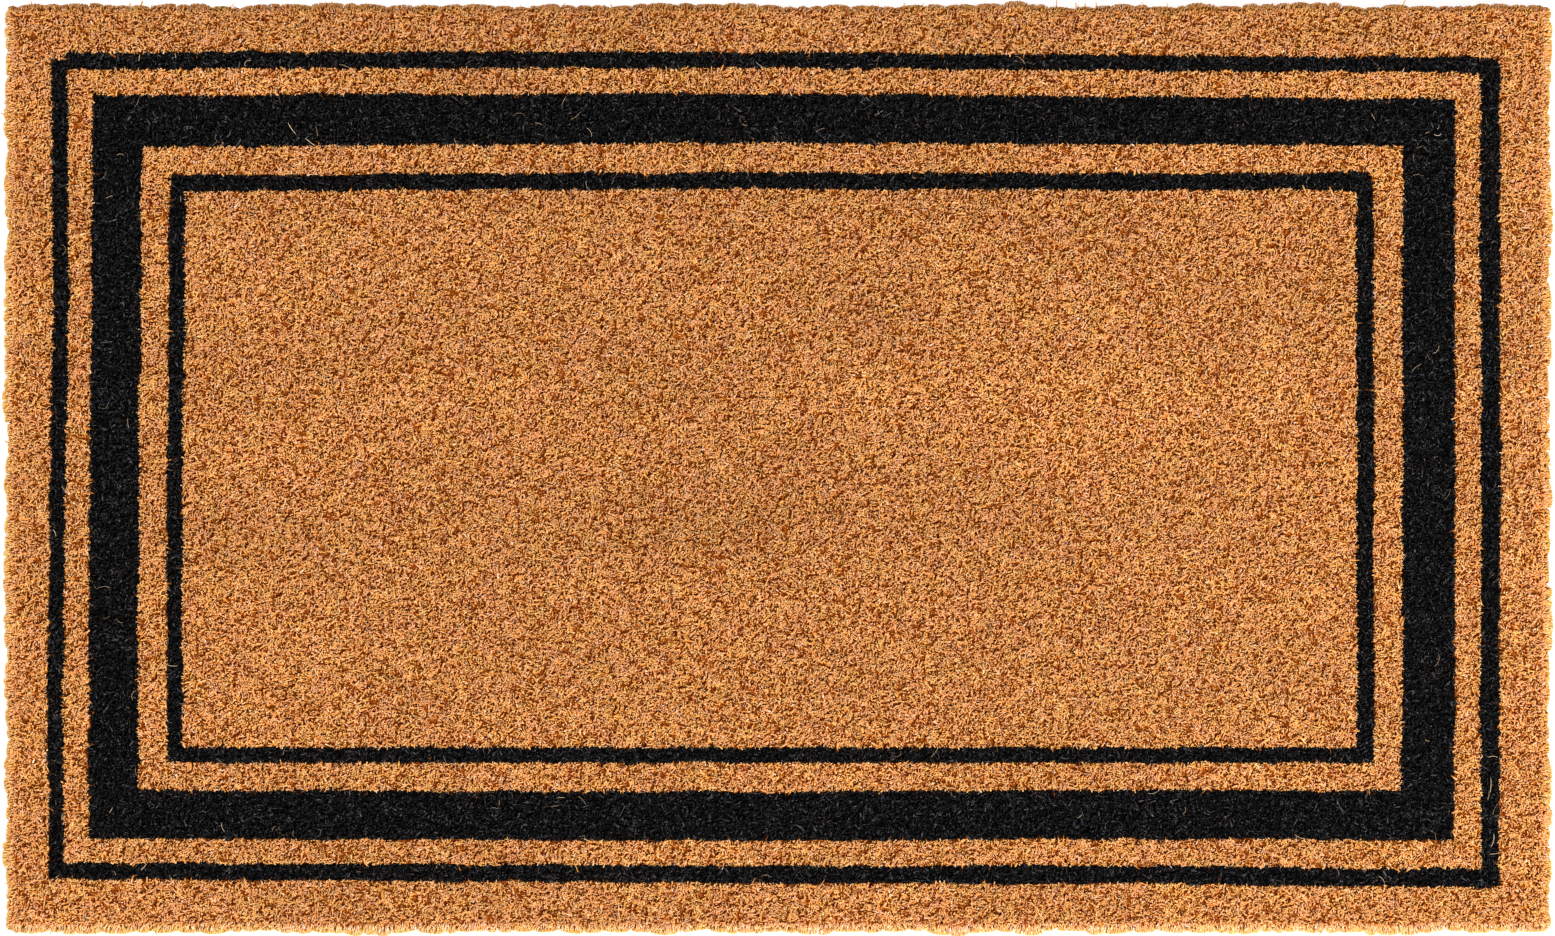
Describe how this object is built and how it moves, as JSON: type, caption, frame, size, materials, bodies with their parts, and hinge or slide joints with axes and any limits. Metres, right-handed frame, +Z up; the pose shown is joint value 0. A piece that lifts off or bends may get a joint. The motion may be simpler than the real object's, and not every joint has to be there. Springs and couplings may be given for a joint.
{
  "type": "door mat",
  "caption": "Rectangular coir door mat: sheared coconut-fibre pile with concentric dyed stripes on a thin vinyl backing sheet.",
  "frame": {"origin": "centre of the mat's footprint, on the surface it lies on", "axes": "+X along the mat's length, +Y along its width, +Z up through the pile"},
  "size_m": [0.762, 0.457, 0.015],
  "materials": {
    "natural_coir": "undyed golden-brown coconut-fibre bristles, sheared level, dry and slightly shiny",
    "dyed_coir": "the same bristles dyed black from the top, with a faint cool sheen",
    "vinyl": "dark flexible vinyl with a moulded anti-slip grain underneath"
  },
  "bodies": {
    "root": {"vinyl_backing": "vinyl", "border_pile": "natural_coir", "outer_stripe_pile": "dyed_coir", "outer_band_pile": "natural_coir", "wide_stripe_pile": "dyed_coir", "inner_band_pile": "natural_coir", "inner_stripe_pile": "dyed_coir", "centre_field_pile": "natural_coir"}
  },
  "joints": []
}
